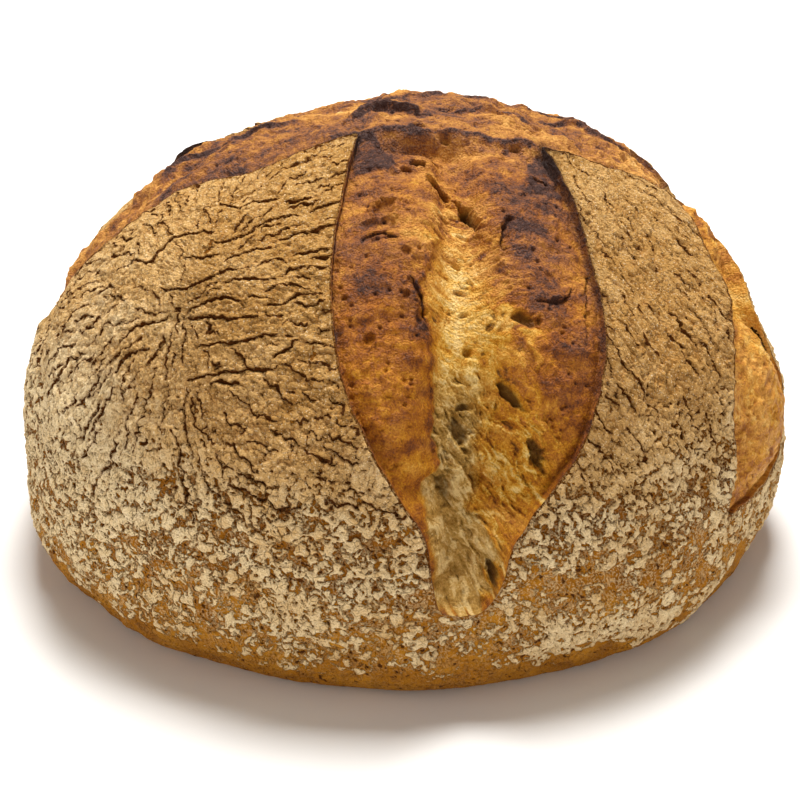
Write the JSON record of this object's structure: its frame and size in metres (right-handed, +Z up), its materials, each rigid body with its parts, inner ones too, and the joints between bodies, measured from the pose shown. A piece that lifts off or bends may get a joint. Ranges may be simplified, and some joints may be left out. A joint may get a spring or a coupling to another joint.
{
  "type": "round sourdough loaf",
  "caption": "Round free-standing sourdough loaf: floured domed crust, cross-scored, with browned bloom torn open along the arms and a flat base.",
  "frame": {"origin": "middle of the loaf's box in plan, on the flat base it rests on", "axes": "+Z up out of the crown; the widest score arm faces -Y; +X is the loaf's longest side"},
  "size_m": [0.2406, 0.221, 0.1402],
  "materials": {
    "crust": "matt floured bread crust with browned, slightly waxy bloom"
  },
  "bodies": {
    "root": {"loaf": "crust"}
  },
  "joints": []
}
